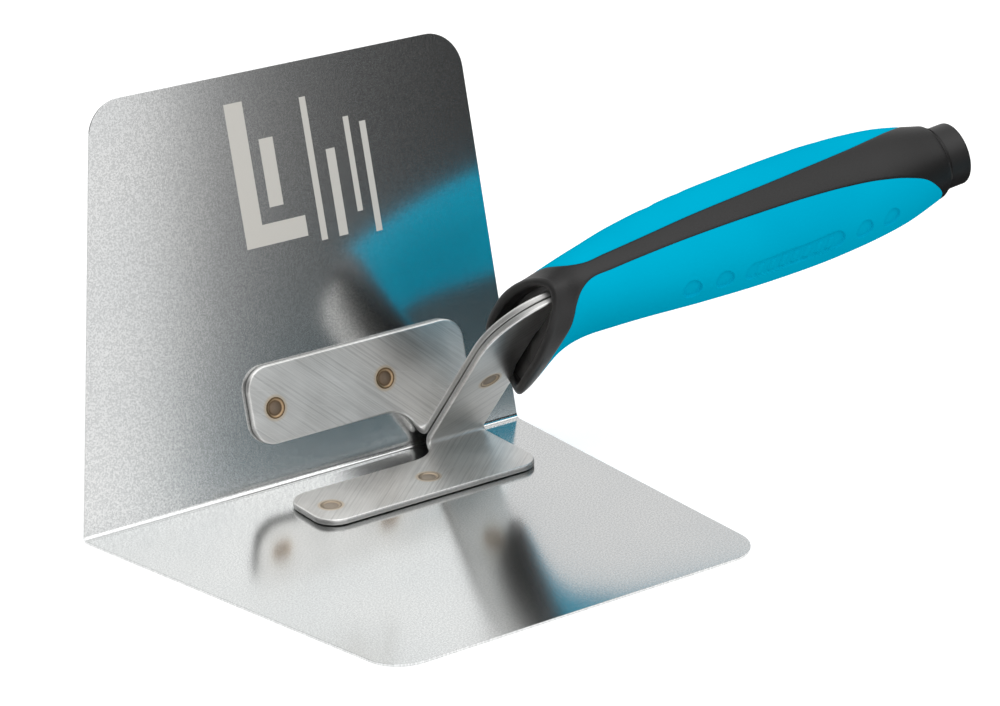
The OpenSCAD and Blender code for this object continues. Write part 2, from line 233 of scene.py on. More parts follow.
# ---------------------------------------------------------------- materials
class Nodes:
    """Short way to add nodes to a node tree."""

    def __init__(self, tree):
        self.tree = tree

    def link(self, value, socket):
        if isinstance(value, bpy.types.NodeSocket):
            self.tree.links.new(value, socket)
        else:
            socket.default_value = value

    def add(self, kind, inputs=(), **props):
        node = self.tree.nodes.new("ShaderNode" + kind)
        for key, value in props.items():
            setattr(node, key, value)
        for key, value in dict(inputs).items():
            self.link(value, node.inputs[key])
        return node

    def math(self, op, a, b=0.0):
        return self.add("Math", {0: a, 1: b}, operation=op).outputs[0]

    def mix(self, fac, a, b):
        return self.add("Mix", {0: fac, 6: a, 7: b}, data_type="RGBA").outputs[2]

    def tint(self, colour, mask, share, other):
        """The colour, with that share of the other one where the mask is 1."""
        return self.mix(self.math("MULTIPLY", mask, share), colour, other)

    def both(self, a, share_a, b, share_b):
        """Weighted sum of two values."""
        return self.math("ADD", self.math("MULTIPLY", a, share_a), self.math("MULTIPLY", b, share_b))

    def without(self, value):
        """1 where the value is 0, and 0 where it is 1."""
        return self.math("SUBTRACT", 1.0, value)

    def blend(self, fac, a, b):
        return self.add("Mix", {0: fac, 2: a, 3: b}, data_type="FLOAT").outputs[0]

    def ramp(self, fac, *stops):
        node = self.add("ValToRGB", {0: fac})
        els = node.color_ramp.elements
        while len(els) < len(stops):
            els.new(0.5)
        for el, (pos, colour) in zip(els, stops):
            el.position = pos
            el.color = colour
        return node.outputs[0]

    def step(self, value, low, high):
        """0 below low, 1 above high, smooth between."""
        return self.add("MapRange", {0: value, 1: low, 2: high}, interpolation_type="SMOOTHSTEP").outputs[0]

    def scaled(self, vector, scale):
        return self.add("VectorMath", {0: vector, 1: scale}, operation="MULTIPLY").outputs[0]

    def noise(self, vector, scale, detail=3.0, rough=0.5):
        return self.add("TexNoise", {"Vector": vector, "Scale": scale, "Detail": detail,
                                     "Roughness": rough}).outputs[0]

    def bump(self, height, strength, distance):
        return self.add("Bump", {"Height": height, "Strength": strength, "Distance": distance}).outputs[0]


class Material(Nodes):
    """A node material. Sockets of its shader are given with _ for the spaces in their names."""

    def __init__(self, name, **sockets):
        self.mat = bpy.data.materials.new(name)
        self.mat.use_nodes = True
        super().__init__(self.mat.node_tree)
        self.bsdf = self.tree.nodes["Principled BSDF"]
        for key, value in sockets.items():
            self.bsdf.inputs[key.replace("_", " ")].default_value = value

    def set(self, **sockets):
        for key, value in sockets.items():
            self.link(value, self.bsdf.inputs[key.replace("_", " ")])
        return self.mat


def grey(v):
    return (v, v, v, 1.0)


def flat_coords(m):
    return m.add("Attribute", attribute_name="flat").outputs["Vector"]


def turned(m, vector, angle, squeeze):
    """Coordinates turned so that grain along the angle is stretched by squeeze."""
    t = m.add("Mapping", {"Vector": vector, "Rotation": (0, 0, -angle)}).outputs[0]
    return m.scaled(t, (1 / squeeze, 1, 1))


def box_mask(m, u, v, cu, cv, hu, hv):
    a = m.math("LESS_THAN", m.math("ABSOLUTE", m.math("SUBTRACT", u, cu)), hu)
    b = m.math("LESS_THAN", m.math("ABSOLUTE", m.math("SUBTRACT", v, cv)), hv)
    return m.math("MULTIPLY", a, b)


# Plain corner angle with a bar in it and four bars beside it, on the upper wing's inside:
# centre along the fold and across it, half size along the fold and across it
BLADE_MARK = [(59.5, -77, 2.6, 18), (67, -61.6, 7.5, 2.6), (67, -76.5, 2.0, 8.5),
              (79.0, -75, 0.9, 18), (84.6, -68, 1.3, 11), (90.4, -74, 0.8, 12), (95.0, -70, 0.9, 14)]
STEEL_DARK, STEEL_LIGHT, STEEL_SPECK = (0.73, 0.74, 0.74, 1), (0.79, 0.79, 0.78, 1), (0.50, 0.51, 0.51, 1)
FROSTED = (0.60, 0.58, 0.54, 1)


def blade_material():
    """Fine satin stainless with a frosted generic mark."""
    m = Material("blade_steel", Metallic=1.0)
    flat = flat_coords(m)
    xyz = m.add("SeparateXYZ", {0: flat})
    x, v, side = xyz.outputs[0], xyz.outputs[1], xyz.outputs[2]
    grain = m.noise(turned(m, flat, math.radians(90), 14), 3.2, 4, 0.62)
    speck = m.noise(flat, 2.4, 3, 0.6)
    cloud = m.noise(flat, 0.03, 2, 0.5)
    parts = [box_mask(m, x, v, *box) for box in BLADE_MARK]
    mark = parts[0]
    for p in parts[1:]:
        mark = m.math("MAXIMUM", mark, p)
    mark = m.math("MULTIPLY", mark, m.math("GREATER_THAN", side, 0.5))
    colour = m.tint(STEEL_DARK, m.step(cloud, 0.35, 0.65), 0.5, STEEL_LIGHT)
    colour = m.tint(colour, m.step(speck, 0.42, 0.58), 0.6, STEEL_SPECK)
    colour = m.mix(mark, colour, FROSTED)
    rough = m.math("ADD", m.math("MULTIPLY", m.math("ADD", grain, speck), 0.06), 0.09)
    rough = m.blend(mark, rough, 0.62)
    normal = m.bump(m.both(grain, 0.6, speck, 0.5), 0.12, 0.00005)
    return m.set(Base_Color=colour, Roughness=rough, Normal=normal,
                 Metallic=m.without(m.math("MULTIPLY", mark, 0.55)))


def weld_distance(m, flat, centres):
    """Distance to the nearest weld centre, in mm."""
    best = None
    for c in centres:
        d = m.add("VectorMath", {0: flat, 1: (c[0], c[1], c[2])}, operation="DISTANCE").outputs["Value"]
        best = d if best is None else m.math("MINIMUM", best, d)
    return best


PLATE_DARK, PLATE_LIGHT = (0.58, 0.575, 0.56, 1), (0.69, 0.685, 0.67, 1)
LINE_BRIGHT, LINE_DARK, LINE_CROSS = (0.84, 0.84, 0.83, 1), (0.36, 0.36, 0.36, 1), (0.85, 0.85, 0.84, 1)
# The second colour here is painted shade for the plate's sides below the rim, not the steel's own colour
HEAT_TINT, CUT_EDGE_SHADE = (0.60, 0.45, 0.27, 1), (0.30, 0.30, 0.295, 1)


def bracket_material(name, centres):
    """Stamped stainless plate, brushed before bending, with heat tint round its welds."""
    m = Material(name, Metallic=1.0)
    flat = flat_coords(m)
    lines = turned(m, flat, math.radians(42), 60)
    fine = m.noise(lines, 4.0, 3, 0.65)
    coarse = m.noise(lines, 1.6, 2, 0.5)
    cross = m.noise(turned(m, flat, math.radians(18), 40), 2.2, 2, 0.5)
    cloud = m.noise(flat, 0.09, 2, 0.5)
    colour = m.mix(m.step(cloud, 0.3, 0.7), PLATE_DARK, PLATE_LIGHT)
    colour = m.tint(colour, m.step(fine, 0.45, 0.6), 0.34, LINE_BRIGHT)
    colour = m.tint(colour, m.step(coarse, 0.52, 0.66), 0.3, LINE_DARK)
    colour = m.tint(colour, m.step(cross, 0.62, 0.7), 0.2, LINE_CROSS)
    near = weld_distance(m, flat, centres)
    halo = m.without(m.step(near, WELD_D / 2, WELD_D / 2 + 1))
    colour = m.tint(colour, halo, 0.62, HEAT_TINT)
    # The plate's sides under the bright rim get a darker colour, painted shade for the dark band they mirror,
    # and a higher roughness for the real duller cut edge
    height = m.add("SeparateXYZ", {0: flat}).outputs[2]
    edge = m.without(m.step(height, PLATE_T - 0.75, PLATE_T - 0.45))
    colour = m.tint(colour, edge, 0.6, CUT_EDGE_SHADE)
    rough = m.math("ADD", m.both(fine, 0.16, edge, 0.1), 0.28)
    relief = m.math("ADD", fine, m.math("MULTIPLY", coarse, 0.8))
    return m.set(Base_Color=colour, Roughness=rough, Normal=m.bump(relief, 0.2, 0.00006))


# Heat colours of a weld from its middle outwards, with the lighter tan ring at 0.69 a painted highlight of
# the dish's wall: (share of WELD_REACH, colour)
WELD_REACH = 3.0
WELD_RINGS_AND_HIGHLIGHT = [(0.0, (0.25, 0.195, 0.15, 1)), (0.45, (0.21, 0.155, 0.11, 1)), (0.60, (0.16, 0.105, 0.065, 1)),
              (0.69, (0.44, 0.32, 0.20, 1)), (0.78, (0.28, 0.19, 0.11, 1)), (0.85, (0.08, 0.05, 0.03, 1)),
              (0.95, (0.48, 0.37, 0.23, 1))]
WELD_PALE = (0.58, 0.52, 0.44, 1)


def weld_material(name, pale):
    """Dished electrode mark: brown ring, tan edge, grey-brown middle, with a lighter ring painted as the
    highlight on the dish's wall. flat.x is the radius in mm.
    """
    m = Material(name, Metallic=1.0)
    flat = flat_coords(m)
    radius = m.add("SeparateXYZ", {0: flat}).outputs[0]
    spot = m.noise(m.add("TexCoord").outputs["Object"], 900, 3, 0.6)
    radius = m.math("ADD", radius, m.math("MULTIPLY", m.math("SUBTRACT", spot, 0.5), 0.3))
    # The ramp's lighter ring at 0.69 is a painted highlight; the other rings are heat tint
    colour = m.ramp(m.math("DIVIDE", radius, WELD_REACH), *WELD_RINGS_AND_HIGHLIGHT)
    if pale:
        colour = m.mix(pale, colour, WELD_PALE)
    return m.set(Base_Color=colour, Roughness=m.math("ADD", 0.3, m.math("MULTIPLY", spot, 0.2)),
                 Normal=m.bump(spot, 0.25, 0.00012))


def plastic(name, colour, dark, rough, grain, strength, **sockets):
    """Moulded skin: fine spark-eroded grain, slight colour drift and handling marks."""
    m = Material(name, **sockets)
    at = m.add("TexCoord").outputs["Object"]
    fine = m.noise(at, grain, 2, 0.6)
    cells = m.add("TexVoronoi", {"Vector": at, "Scale": grain * 0.7}, feature="F1").outputs["Distance"]
    drift = m.noise(at, 28, 3, 0.5)
    tone = m.mix(m.step(drift, 0.3, 0.7), colour, dark)
    roughness = m.math("ADD", rough, m.math("MULTIPLY", m.math("SUBTRACT", drift, 0.5), 0.14))
    height = m.both(fine, 0.6, cells, 0.5)
    return m.set(Base_Color=tone, Roughness=roughness, Normal=m.bump(height, strength, 0.00008))


# ---------------------------------------------------------------- blade
def wing_edges(d):
    """Front and rear end of the sheet at distance d from the fold."""
    slope = FRONT_TAPER / WING_W
    front, rear = slope * d, FOLD_LEN
    low = WING_W - CORNER_R
    cx = slope * low + CORNER_R * math.hypot(1, slope)
    if d > low + CORNER_R * slope / math.hypot(1, slope):
        front = cx - math.sqrt(max(CORNER_R ** 2 - (d - low) ** 2, 0))
    if d > low:
        rear = FOLD_LEN - CORNER_R + math.sqrt(max(CORNER_R ** 2 - (d - low) ** 2, 0))
    return front, rear


def build_blade(material):
    """The bent sheet, rows across both wings and the fold, with softened edges."""
    start = FOLD_R / math.tan(HALF_A)
    low = WING_W - CORNER_R
    ds = [start] + list(np.linspace(start, low, 22))[1:]
    ds += [low + CORNER_R * math.sin(math.pi / 2 * k / 14) for k in range(1, 15)]
    rows = [(-d, d * ALONG * (1, -1), OUT * (1, -1), d) for d in reversed(ds)]
    mid = np.array([FOLD_R / math.sin(HALF_A), 0])
    turn = math.pi / 2 - HALF_A
    for k in range(1, 16):
        t = turn * (1 - k / 8)
        n = np.array([-math.cos(t), -math.sin(t)])
        rows.append((start * (k / 8 - 1), mid + FOLD_R * n, n, abs(k / 8 - 1) * start))
    rows += [(d, d * ALONG, OUT, d) for d in ds]
    cols = 30
    points, flat = [], []
    for skin in (0.0, SHEET_T):
        for v, p, n, d in rows:
            front, rear = wing_edges(d)
            q = p + skin * n
            for k in range(cols):
                x = front + (rear - front) * k / (cols - 1)
                points.append((x, q[0], q[1]))
                flat.append((x, v, 1.0 if skin == 0 and v < 0 else 0.0))
    n = len(rows)
    size = n * cols
    faces = grid_faces(n, cols) + [tuple(reversed(f)) for f in grid_faces(n, cols, size)]
    for i in range(n - 1):
        for c in (0, cols - 1):
            a, b = i * cols + c, (i + 1) * cols + c
            faces.append((a, b, b + size, a + size))
    for i in (0, n - 1):
        for c in range(cols - 1):
            a = i * cols + c
            faces.append((a, a + 1, a + 1 + size, a + size))
    obj = piece("blade_sheet", points, faces, "blade", material, flat=flat)
    bevel = obj.modifiers.new("deburred", "BEVEL")
    bevel.width = SHEET_EDGE / 1000
    bevel.segments = 3
    bevel.limit_method = "ANGLE"
    bevel.angle_limit = math.radians(40)
    return weighted_normals(obj)


# ---------------------------------------------------------------- brackets and welds
BEND_OUT = BEND_R + PLATE_T
BEND_END = BEND_OUT / math.tan(HALF_A / 2)
BEND_LEN = (BEND_R + PLATE_T / 2) * (math.pi - HALF_A)


def flange_v(d):
    """Distance from the fold to the developed coordinate, which is 0 where the web starts."""
    return -BEND_LEN - (d - BEND_END)


def fold_up(x, v, h):
    """Developed plate coordinates to the web frame; h is the height over the bend's outer side."""
    if v >= 0:
        return (x, BEND_END + v, h)
    if v > -BEND_LEN:
        t = 1.5 * math.pi - (math.pi - HALF_A) * (-v / BEND_LEN)
        r = BEND_OUT - h
        return (x, BEND_END + r * math.cos(t), BEND_OUT + r * math.sin(t))
    p = (BEND_END - v - BEND_LEN) * ALONG - h * OUT
    return (x, p[0], p[1])


def build_bracket(side, material):
    """One stamped plate, cut flat with its holes and then folded up: piece and weld centres."""
    turn_top = np.array([WEB_X0 + TURN_R * (1 - math.sin(TILT)), TURN_Y + TURN_R * math.cos(TILT)])
    under = turn_top - ABOVE * TANG_ROOT_H
    inner = under + AHEAD * (WEB_X1 - WAIST - under[0]) / AHEAD[0]
    tip = turn_top + AHEAD * TANG_LEN
    tip_low = tip - ABOVE * TANG_TIP_H
    corner_y = turn_top[1] - (turn_top[0] - WEB_X0) * math.tan(TILT)
    far = FLANGE_GAP + FLANGE_W
    outline = rounded([
        (FLANGE_X, flange_v(FLANGE_GAP), FLANGE_R), (FLANGE_X, flange_v(far), FLANGE_R),
        (WEB_X1, flange_v(far), FLANGE_R), (WEB_X1, WAIST_Y0 - BEND_END, TANG_R),
        (WEB_X1 - WAIST, WAIST_Y1 - BEND_END, TANG_R), (inner[0], inner[1] - BEND_END, TURN_INNER_R),
        (tip_low[0], tip_low[1] - BEND_END, TANG_R), (tip[0], tip[1] - BEND_END, TANG_R),
        (WEB_X0, corner_y - BEND_END, TURN_R), (WEB_X0, flange_v(FLANGE_GAP), NECK_FILLET)], step=5)
    # More points along the neck's two edges, so that they bend smoothly
    dense = []
    levels = -BEND_LEN * np.linspace(0, 1, 15)
    for p, q in zip(outline, np.roll(outline, -1, 0)):
        dense.append(p)
        if abs(p[0] - q[0]) < 1e-6:
            cut = [t for t in (levels - p[1]) / (q[1] - p[1]) if 1e-4 < t < 1 - 1e-4]
            dense.extend(p + (q - p) * t for t in sorted(cut))
    pitch, d = FLANGE_WELDS[side]
    weld_at = [(FLANGE_X + WELD_X1 + k * pitch, flange_v(d)) for k in (0, 1)]
    web_at = (WEB_WELD[0], WEB_WELD[1] - BEND_END)
    holes = [(x, v, WELD_D / 2) for x, v in weld_at + [web_at]]
    for xi in TANG_HOLES:
        p = GRIP_O + AHEAD * xi - ABOVE * TANG_HOLE_DROP
        holes.append((p[0], p[1] - BEND_END, TANG_HOLE_D / 2))
    inset = PLATE_RIMS[1] + 1e-3
    cuts = [((WEB_X0 + inset, v), (WEB_X1 - inset, v)) for v in levels]
    uv, height, faces = plate(np.array(dense), holes, SEAT_GAP, PLATE_T, PLATE_RIMS, cuts)
    # The gap under the flange closes up along the web, where the two plates are clamped together
    closing = np.clip(uv[:, 1] / GAP_RUN, 0, 1) * (PLATE_T - height) / (PLATE_T - SEAT_GAP)
    height -= (SEAT_GAP - WEB_GAP) * closing
    points = [fold_up(x, v, h) for (x, v), h in zip(uv, height)]
    flat = [(x, v, h) for (x, v), h in zip(uv, height)]
    centres = [(x, v, PLATE_T) for x, v in weld_at + [web_at]]
    obj = piece(side + "_bracket_plate", points, faces, side + "_bracket",
                material(side + "_bracket_steel", centres), flip=side == "upper", flat=flat)
    return weighted_normals(obj), weld_at, web_at


# Dished mark left by an electrode: (share of the radius, depth under the plate's face)
DISH = [(0.0, 0.13), (0.2, 0.132), (0.4, 0.15), (0.54, 0.185), (0.64, 0.21), (0.72, 0.19), (0.79, 0.12),
        (0.85, 0.05), (0.9, -0.01), (0.95, -0.03), (1.0, 0.0)]


def nugget(centre, top, bottom, to3d, both=False):
    """Closed lathe of a weld: points, faces and the radius at each point."""
    n = 48
    edge = WELD_D / 2
    profile = [(edge * k, top - dz) for k, dz in DISH]
    if both:
        profile += [(edge * k, bottom + dz) for k, dz in reversed(DISH)]
    else:
        profile += [(edge, bottom), (0.0, bottom)]
    points, flat = [], []
    for r, h in profile:
        for k in range(n):
            t = 2 * math.pi * k / n
            points.append(to3d(centre[0] + r * math.cos(t), centre[1] + r * math.sin(t), h))
            flat.append((r, 0.0, 0.0))
    return points, grid_faces(len(profile), n, closed=True), flat


def build_welds(side, weld_at, material):
    points, faces, flat = [], [], []
    for c in weld_at:
        p, f, a = nugget(c, PLATE_T, -SHEET_T / 2, fold_up)
        faces += [tuple(k + len(points) for k in q) for q in f]
        points += p
        flat += a
    return piece(side + "_flange_weld_marks", points, faces, side + "_flange_welds",
                 material, flip=side == "upper", flat=flat)


def build_web_weld(web_at, material):
    def upright(x, v, h):
        return (x, BEND_END + v, h)
    points, faces, flat = nugget(web_at, PLATE_T, -PLATE_T, upright, both=True)
    return piece("web_weld_marks", points, faces, "web_weld", material, flat=flat)


# ---------------------------------------------------------------- handle form
# Distance from the root, top, bottom, half width
GRIP = np.array([[12, 10.1, -11.6, 10.3], [23, 11.2, -10.1, 12], [40, 12.6, -11.7, 13.6],
                 [60, 12.7, -13.9, 14.5], [80, 12, -14.6, 14.6], [100, 9.8, -14.1, 12.9],
                 [GRIP_LEN, 6.2, -12.3, 9.2]])
NECK = 12.0
MOUTH_X, MOUTH_Y = WEB_X0 + 11.4, 45.9
MOUTH_BOW_TOP, MOUTH_BOW_CHIN, FLOOR_BOW = 2.6, 5.3, 2.0
# Exponents of the ovals, 2 being an ellipse and more being squarer; the mouth's top and bottom differ
GRIP_OVAL, MOUTH_OVAL = 2.2, (1.8, 2.8)
# One unit of the long coordinate is the collar, and then this many mm of grip
UNIT = 16.0
# Share of the pocket's unit that goes round the lip, and of the tail's unit that rounds the edge
LIP_SHARE, EDGE_SHARE = 0.55, 0.6


def hermite(u, w, start, end, slope0, slope1):
    """Smooth curve between two values with these slopes, u going from 0 to 1 over the width w."""
    return ((1 + 2 * u) * (1 - u) ** 2 * start + u * (1 - u) ** 2 * w * slope0
            + u * u * (3 - 2 * u) * end + u * u * (u - 1) * w * slope1)


def station(t, j):
    """Smooth curve through the stations, column j at distance t."""
    t = np.asarray(t, float)
    k = np.clip(np.searchsorted(GRIP[:, 0], t, side="right") - 1, 0, len(GRIP) - 2)
    lo, hi = np.maximum(k - 1, 0), np.minimum(k + 1, len(GRIP) - 1)
    s0 = (GRIP[hi, j] - GRIP[lo, j]) / (GRIP[hi, 0] - GRIP[lo, 0])
    hi2 = np.minimum(k + 2, len(GRIP) - 1)
    s1 = (GRIP[hi2, j] - GRIP[k, j]) / (GRIP[hi2, 0] - GRIP[k, 0])
    w = GRIP[k + 1, 0] - GRIP[k, 0]
    return hermite((t - GRIP[k, 0]) / w, w, GRIP[k, j], GRIP[k + 1, j], s0, s1)


def bulge(v, n):
    """Turns the cosine or sine of an angle into that of an oval with the exponent n."""
    return np.sign(v) * np.abs(v) ** (2 / n)


def grip_point(t, a, inset=0.0):
    """Point of the grip at distance t from its root, a being the angle from its top."""
    top, low, w = station(t, 1) - inset, station(t, 2) + inset, station(t, 3) - inset
    up = (top + low) / 2 + bulge(np.cos(a), GRIP_OVAL) * (top - low) / 2
    return in_grip(t, up, bulge(np.sin(a), GRIP_OVAL) * w)


def in_grip(t, up, side):
    """Point at distance t from the grip's root, by height over its axis and distance to its side."""
    t = np.asarray(t, float)
    return np.stack([GRIP_O[0] + t * AHEAD[0] + up * ABOVE[0], GRIP_O[1] + t * AHEAD[1] + up * ABOVE[1],
                     side], -1)


def mouth_oval(a):
    n = np.where(np.cos(a) > 0, *MOUTH_OVAL)
    return bulge(np.cos(a), n), bulge(np.sin(a), n)


def mouth_point(a, inset=0.0, ahead=0.0, top=MOUTH_BOW_TOP, chin=MOUTH_BOW_CHIN):
    ox, oz = mouth_oval(a)
    bow = np.where(ox > 0, top * ox ** 2, chin * np.abs(ox) ** 3)
    return np.stack([MOUTH_X + bow - ahead + 0 * a, MOUTH_Y + ox * (MOUTH_H / 2 - inset),
                     oz * (MOUTH_W / 2 - inset)], -1)


def collar_point(u, a, inset=0.0):
    """The collar blends from the mouth, u = 0, to the grip, u = 1, along a curve for each angle."""
    p, q = mouth_point(a, inset), grip_point(NECK + 0 * a, a, inset)
    onward = grip_point(NECK + 0.4 + 0 * a, a, inset) - q
    onward /= np.linalg.norm(onward, axis=-1, keepdims=True)
    gap = np.linalg.norm(q - p, axis=-1, keepdims=True)
    b = p + 0.19 * (q - p) + 2.1 * np.array([AHEAD[0], AHEAD[1], 0])
    c = q - 0.56 * gap * onward
    u = np.asarray(u, float)[..., None]
    s = 1 - u
    out = s ** 3 * p + 3 * s * s * u * b + 3 * s * u * u * c + u ** 3 * q
    under = np.minimum(mouth_oval(a)[0], 0)
    out[..., 0] -= 4 * (s * u)[..., 0] * inset * under ** 2
    return out


def lip_point(s, a):
    """From the mouth's edge, s = 0, over the lip and down the pocket's wall to s = 1."""
    turn = math.pi * np.clip(s / LIP_SHARE, 0, 1)
    deep = np.clip((s - LIP_SHARE) / (1 - LIP_SHARE), 0, 1)
    inset = LIP_T / 2 * (1 - np.cos(turn)) + WALL_DRAFT * deep
    ahead = LIP_T / 2 * np.sin(turn) - POCKET_DEPTH * deep
    return mouth_point(a, inset, ahead, MOUTH_BOW_TOP * (1 - deep),
                       MOUTH_BOW_CHIN + (FLOOR_BOW - MOUTH_BOW_CHIN) * deep)


def tail_point(s, a):
    """From the grip's end, s = 0, round its edge and over the end face to the stub, s = 1."""
    turn = np.clip(s / EDGE_SHARE, 0, 1) * math.pi / 2
    rim = grip_point(GRIP_LEN - TAIL_R * (1 - np.sin(turn)), a, TAIL_R * (1 - np.cos(turn)))
    k = np.clip((s - EDGE_SHARE) / (1 - EDGE_SHARE), 0, 1)[..., None]
    return rim * (1 - k) + stub_point(GRIP_LEN - 0.15, a, STUB_R + 0.02) * k


def stub_point(t, a, r):
    """Circle round the stub's axis, at distance t from the grip's root."""
    up = (station(GRIP_LEN, 1) + station(GRIP_LEN, 2)) / 2 + np.cos(a) * r
    return in_grip(t, up, np.sin(a) * r)


END = 1 + (GRIP_LEN - TAIL_R - NECK) / UNIT
# One radian round the handle is about this many mm, and so (t, angle) times SPREAD is spaced in mm
AROUND = 13.0
SPREAD = np.array([UNIT, AROUND])


def form(t, a):
    """Outer surface of the handle, a being the angle from the top.

    t goes from -1 in the pocket over 0 at the mouth, 1 at the neck and END at the tail to END + 1.
    """
    t, a = np.broadcast_arrays(np.asarray(t, float), np.asarray(a, float))
    body = np.where((t < 1)[..., None], collar_point(np.clip(t, 0, 1), a),
                    grip_point(NECK + UNIT * (np.clip(t, 1, END) - 1), a))
    body = np.where((t < 0)[..., None], lip_point(np.clip(-t, 0, 1), a), body)
    return np.where((t > END)[..., None], tail_point(np.clip(t - END, 0, 1), a), body)


def outward(t, a):
    """Unit normal of the form."""
    e = 2e-4
    n = np.cross(form(t, a + e) - form(t, a - e), form(t + e, a) - form(t - e, a))
    return n / np.maximum(np.linalg.norm(n, axis=-1, keepdims=True), 1e-12)


# ---------------------------------------------------------------- colour split
# Front edge of the coloured skin on the flank, in the web frame: from the chin to the stripe
FRONT = [(111.9, 29.5), (111.6, 32.5), (110.9, 37), (110.6, 43.4), (110.7, 50), (111.7, 55), (112.7, 59.5),
         (113.4, 64.3), (114.9, 67.4)]
# Half width of the black stripe along the top, by distance from the root
STRIPE = [(10, 2.4), (16, 2.3), (30, 2.5), (40, 2.8), (57, 3.3), (73, 4.0), (82, 4.6), (93, 5.8),
          (101, 7.2), (106, 8.3)]
# Rounded rear end of the coloured skin: (distance from the root, angle from the top)
TAIL = [(110.2, 68), (112.2, 88), (113.0, 110), (113.4, 140), (113.5, 180)]
# Front end of the coloured skin under the chin: (form's long coordinate, angle from the top)
CHIN = [(0.06, 180), (0.068, 152)]


def seam():
    """Edge of the coloured skin on one flank as (t, angle) from the chin round to the belly's end."""
    ts, angles = np.linspace(0.02, 1.3, 240), np.linspace(0.02, math.pi, 240)
    tg, ag = np.meshgrid(ts, angles, indexing="ij")
    field = form(tg, ag)
    knots = [(t, math.radians(deg)) for t, deg in CHIN]
    for x, y in FRONT:
        k = np.argmin((field[..., 0] - x) ** 2 + (field[..., 1] - y) ** 2)
        knots.append((tg.flat[k], ag.flat[k]))
    fine = np.linspace(0.01, math.pi / 2, 2000)
    for xi, half in STRIPE:
        t = 1 + (xi - NECK) / UNIT
        k = np.argmin(np.abs(form(t + 0 * fine, fine)[:, 2] - half))
        knots.append((t, fine[k]))
    knots += [(1 + (xi - NECK) / UNIT, math.radians(deg)) for xi, deg in TAIL]
    knots = np.array(knots)
    knots[:, 0] = np.maximum.accumulate(knots[:, 0] + 1e-4 * np.arange(len(knots)))
    pos = form(knots[:, 0], knots[:, 1])
    s = np.concatenate([[0], np.cumsum(np.linalg.norm(np.diff(pos, axis=0), axis=1))])
    # Smooth curve through the knots, evenly sampled
    at = np.linspace(0, s[-1], 380)
    slopes = np.gradient(knots, s, axis=0)
    k = np.clip(np.searchsorted(s, at, side="right") - 1, 0, len(s) - 2)
    w = (s[k + 1] - s[k])[:, None]
    u = ((at - s[k])[:, None]) / w
    curve = hermite(u, w, knots[k], knots[k + 1], slopes[k], slopes[k + 1])
    curve[:, 0] = np.maximum.accumulate(curve[:, 0])
    curve[:, 1] = np.clip(curve[:, 1], 0.02, math.pi)
    for _ in range(6):
        curve[1:-1] = 0.25 * curve[:-2] + 0.5 * curve[1:-1] + 0.25 * curve[2:]
    return curve


# Distances from the edge of a mark, and from the seam, at which the mesh follows it
BESIDE_MARK = (-0.5, -0.3, -0.16, -0.05, 0.05, 0.16, 0.3, 0.5)
BESIDE_SEAM = (-0.8, -0.45, -0.22, 0.22, 0.45, 0.8)
# The even mesh keeps this far from a mark's edge, from the seam, and from the seam on its own border
MARK_CLEAR, SEAM_CLEAR, BORDER_CLEAR = 0.62, 1.15, 0.3
# Ribs of the long mark: height against its depth, half width, half length, number
RIB_SHARE, RIB_HALF_W, RIB_HALF_LEN, RIBS = 0.62, 0.75, 1.75, 7
# Widths over which a mark's edge and a rib's side slope
MARK_SLOPE, RIB_SLOPE = 0.34, 0.36
# Only points further out than this from the mirror plane belong to a flank
FLANK_Z = 3


def marks():
    """The pressed marks of a flank: (distance from the root, height, half length, radius)."""
    return [(x, y, 0.0, DIMPLE_D / 2) for x, y in DIMPLES] + [(*PILL, PILL_LEN / 2, DIMPLE_D / 2)]


def mark_gap(xi, eta, mark):
    """Distance out from the edge of a mark, which is negative inside it."""
    x, y, half, r = mark
    return np.hypot(np.maximum(np.abs(xi - x) - half, 0), eta - y) - r


def mark_points():
    """Points of the form close to the edges of the marks, and inside the long one."""
    xi, eta = [], []
    for x, y, half, r in marks():
        n = 150 if half else 44
        for off in BESIDE_MARK:
            for k in range(n):
                t = 2 * math.pi * k / n
                c, s = math.cos(t), math.sin(t)
                xi.append(x + (r + off) * c + half * max(-1.0, min(1.0, 2.5 * c)))
                eta.append(y + (r + off) * s)
    for k in range(-36, 37):
        for j in range(-5, 6):
            xi.append(PILL[0] + k / 3 + 0.12 * j)
            eta.append(PILL[1] + 0.34 * j)
    return np.array(xi), np.array(eta)


def angle_at(xi, eta):
    """Angle from the top of the flank's point at that height over the grip's axis."""
    top, low = station(xi, 1), station(xi, 2)
    c = (eta - (top + low) / 2) / ((top - low) / 2)
    return np.arccos(np.clip(np.sign(c) * np.abs(c) ** 1.1, -1, 1))


def flank_place(points):
    """Distance from the grip's root and height over its axis."""
    rel = points[:, :2] - GRIP_O
    return rel @ AHEAD, rel @ ABOVE


def pressed(points):
    """How deep the marks go at each point of a flank."""
    xi, eta = flank_place(points)
    away = np.min([mark_gap(xi, eta, mark) for mark in marks()], axis=0)
    u = np.clip(0.5 - away / MARK_SLOPE, 0, 1)
    depth = MARK_DEPTH * u * u * (3 - 2 * u)
    # Slanted ribs stand in the long mark
    slant = (xi - PILL[0]) - 0.35 * (eta - PILL[1])
    wave = np.abs((slant / RIB_PITCH + 0.5) % 1 - 0.5) * RIB_PITCH
    ribbed = np.abs(slant) < RIB_PITCH * RIBS / 2
    u = np.clip(0.5 - (wave - RIB_HALF_W) / RIB_SLOPE, 0, 1)
    v = np.clip((RIB_HALF_LEN - np.abs(eta - PILL[1])) / RIB_SLOPE, 0, 1)
    return depth - np.where(ribbed, RIB_SHARE * MARK_DEPTH * u * u * (3 - 2 * u) * v, 0)


